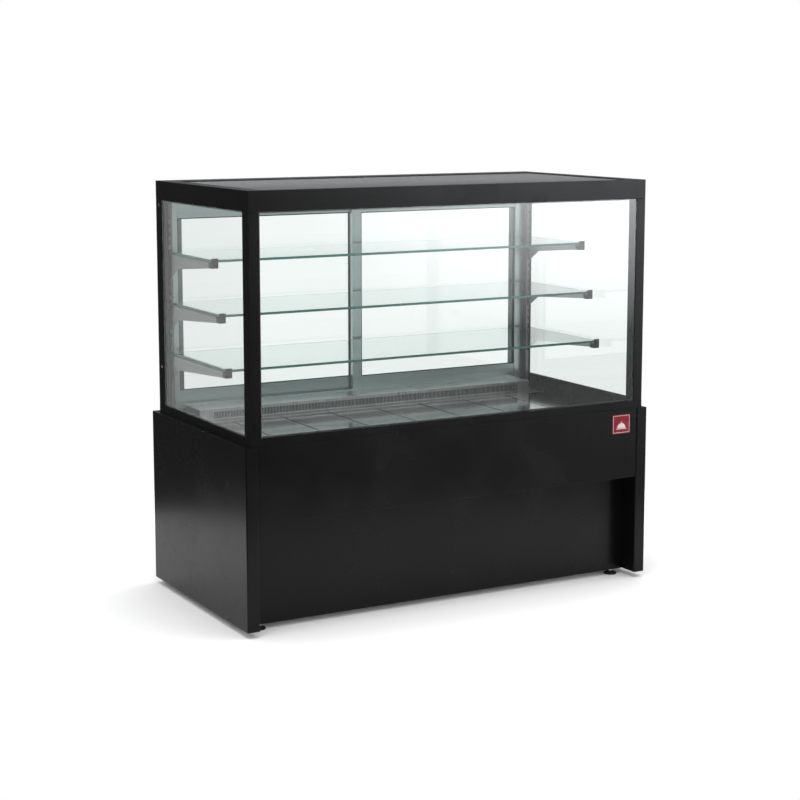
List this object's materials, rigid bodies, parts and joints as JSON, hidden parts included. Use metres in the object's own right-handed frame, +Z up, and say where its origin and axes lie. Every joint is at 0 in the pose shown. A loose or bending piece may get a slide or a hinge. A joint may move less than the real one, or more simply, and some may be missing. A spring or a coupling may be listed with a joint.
{
  "type": "hot food display case",
  "caption": "Free-standing glazed food display case with black sheet-metal base, glass shelves, sliding rear doors and a heated well under lift-out deck plates.",
  "frame": {"origin": "centre of the footprint on the floor, under the middle of the case", "axes": "+Z up, +X to the customer's right, +Y towards the server's side with the sliding doors; the customer's glass faces -Y"},
  "size_m": [1.5, 0.76, 1.37],
  "materials": {
    "black_powder_coat": "satin black powder coat with a fine texture",
    "black_plastic": "moulded black plastic",
    "galvanised_steel": "zinc-coated sheet",
    "satin_stainless": "satin stainless steel",
    "polished_stainless": "near-mirror stainless steel",
    "door_aluminium": "satin anodised",
    "heater_sheath": "heat-tinted sheath",
    "clear_glass": "clear toughened glass",
    "shelf_glass": "clear toughened glass with polished green edges",
    "badge_enamel": "gloss dark red enamel, plain",
    "display_lens": "smoked gloss lens",
    "lamp_diffuser": "opal diffuser"
  },
  "bodies": {
    "case": {"base_tray": "galvanised_steel", "end_panel_left": "black_powder_coat", "end_panel_right": "black_powder_coat", "front_fascia": "black_powder_coat", "kick_panel": "black_powder_coat", "rear_service_panel": "black_powder_coat", "control_panel": "black_powder_coat", "cable_gland": "black_plastic", "display_window": "display_lens", "badge_plate": "badge_enamel", "well_pan": "satin_stainless", "heater_element": "heater_sheath", "fan_plate": "galvanised_steel", "rear_air_grille": "polished_stainless", "sill_frame": "black_powder_coat", "post_front_left": "black_powder_coat", "post_front_right": "black_powder_coat", "post_rear_left": "black_powder_coat", "post_rear_right": "black_powder_coat", "top_frame": "black_powder_coat", "top_glass": "clear_glass", "front_glass": "clear_glass", "side_glass_left": "clear_glass", "side_glass_right": "clear_glass", "lamp_housing": "satin_stainless", "lamp_diffuser": "lamp_diffuser", "door_track_bottom": "door_aluminium", "door_track_top": "door_aluminium", "upright_left": "satin_stainless", "upright_right": "satin_stainless", "bracket_top_left": "satin_stainless", "bracket_top_right": "satin_stainless", "bracket_middle_left": "satin_stainless", "bracket_middle_right": "satin_stainless", "bracket_bottom_left": "satin_stainless", "bracket_bottom_right": "satin_stainless"},
    "left_door": {"door_frame_left": "door_aluminium", "door_glass_left": "clear_glass"},
    "right_door": {"door_frame_right": "door_aluminium", "door_glass_right": "clear_glass"},
    "top_shelf": {"shelf_glass_top": "shelf_glass"},
    "middle_shelf": {"shelf_glass_middle": "shelf_glass"},
    "bottom_shelf": {"shelf_glass_bottom": "shelf_glass"},
    "plate_1": {"deck_plate_1": "polished_stainless"},
    "plate_2": {"deck_plate_2": "polished_stainless"},
    "plate_3": {"deck_plate_3": "polished_stainless"},
    "plate_4": {"deck_plate_4": "polished_stainless"},
    "plate_5": {"deck_plate_5": "polished_stainless"},
    "plate_6": {"deck_plate_6": "polished_stainless"},
    "plate_7": {"deck_plate_7": "polished_stainless"},
    "plate_8": {"deck_plate_8": "polished_stainless"},
    "left_fan": {"fan_wheel_left": "black_plastic"},
    "right_fan": {"fan_wheel_right": "black_plastic"},
    "main_rocker": {"main_switch": "black_plastic"},
    "lamp_rocker": {"lamp_switch": "black_plastic"},
    "knob": {"thermostat_knob": "black_plastic"},
    "front_left_foot": {"foot_front_left": "black_plastic"},
    "front_right_foot": {"foot_front_right": "black_plastic"},
    "rear_left_foot": {"foot_rear_left": "black_plastic"},
    "rear_right_foot": {"foot_rear_right": "black_plastic"}
  },
  "joints": [
    {"name": "left_door_slide", "type": "slide", "parent": "case", "child": "left_door", "axis": [1, 0, 0], "range_m": [0, 0.675]},
    {"name": "right_door_slide", "type": "slide", "parent": "case", "child": "right_door", "axis": [-1, 0, 0], "range_m": [0, 0.675]},
    {"name": "top_shelf_lift", "type": "slide", "parent": "case", "child": "top_shelf", "axis": [0, 0, 1], "range_m": [0, 0.1]},
    {"name": "middle_shelf_lift", "type": "slide", "parent": "case", "child": "middle_shelf", "axis": [0, 0, 1], "range_m": [0, 0.06]},
    {"name": "bottom_shelf_lift", "type": "slide", "parent": "case", "child": "bottom_shelf", "axis": [0, 0, 1], "range_m": [0, 0.06]},
    {"name": "plate_1_lift", "type": "slide", "parent": "case", "child": "plate_1", "axis": [0, 0, 1], "range_m": [0, 0.045]},
    {"name": "plate_2_lift", "type": "slide", "parent": "case", "child": "plate_2", "axis": [0, 0, 1], "range_m": [0, 0.12]},
    {"name": "plate_3_lift", "type": "slide", "parent": "case", "child": "plate_3", "axis": [0, 0, 1], "range_m": [0, 0.12]},
    {"name": "plate_4_lift", "type": "slide", "parent": "case", "child": "plate_4", "axis": [0, 0, 1], "range_m": [0, 0.12]},
    {"name": "plate_5_lift", "type": "slide", "parent": "case", "child": "plate_5", "axis": [0, 0, 1], "range_m": [0, 0.12]},
    {"name": "plate_6_lift", "type": "slide", "parent": "case", "child": "plate_6", "axis": [0, 0, 1], "range_m": [0, 0.12]},
    {"name": "plate_7_lift", "type": "slide", "parent": "case", "child": "plate_7", "axis": [0, 0, 1], "range_m": [0, 0.12]},
    {"name": "plate_8_lift", "type": "slide", "parent": "case", "child": "plate_8", "axis": [0, 0, 1], "range_m": [0, 0.045]},
    {"name": "left_fan_spin", "type": "hinge", "parent": "case", "child": "left_fan", "pos_m": [-0.35, 0.25125, 0.52], "axis": [0, 0, 1], "continuous": true},
    {"name": "right_fan_spin", "type": "hinge", "parent": "case", "child": "right_fan", "pos_m": [0.35, 0.25125, 0.52], "axis": [0, 0, 1], "continuous": true},
    {"name": "main_switch_rock", "type": "hinge", "parent": "case", "child": "main_rocker", "pos_m": [0.43, 0.354, 0.505], "axis": [1, 0, 0], "range_deg": [-16, 0]},
    {"name": "lamp_switch_rock", "type": "hinge", "parent": "case", "child": "lamp_rocker", "pos_m": [0.48, 0.354, 0.505], "axis": [1, 0, 0], "range_deg": [-16, 0]},
    {"name": "thermostat_turn", "type": "hinge", "parent": "case", "child": "knob", "pos_m": [0.56, 0.36, 0.505], "axis": [0, -1, 0], "range_deg": [0, 270]},
    {"name": "front_left_foot_turn", "type": "hinge", "parent": "case", "child": "front_left_foot", "pos_m": [-0.672, -0.29, 0], "axis": [0, 0, 1], "range_deg": [0, 3600]},
    {"name": "front_right_foot_turn", "type": "hinge", "parent": "case", "child": "front_right_foot", "pos_m": [0.672, -0.29, 0], "axis": [0, 0, 1], "range_deg": [0, 3600]},
    {"name": "rear_left_foot_turn", "type": "hinge", "parent": "case", "child": "rear_left_foot", "pos_m": [-0.672, 0.29, 0], "axis": [0, 0, 1], "range_deg": [0, 3600]},
    {"name": "rear_right_foot_turn", "type": "hinge", "parent": "case", "child": "rear_right_foot", "pos_m": [0.672, 0.29, 0], "axis": [0, 0, 1], "range_deg": [0, 3600]}
  ]
}
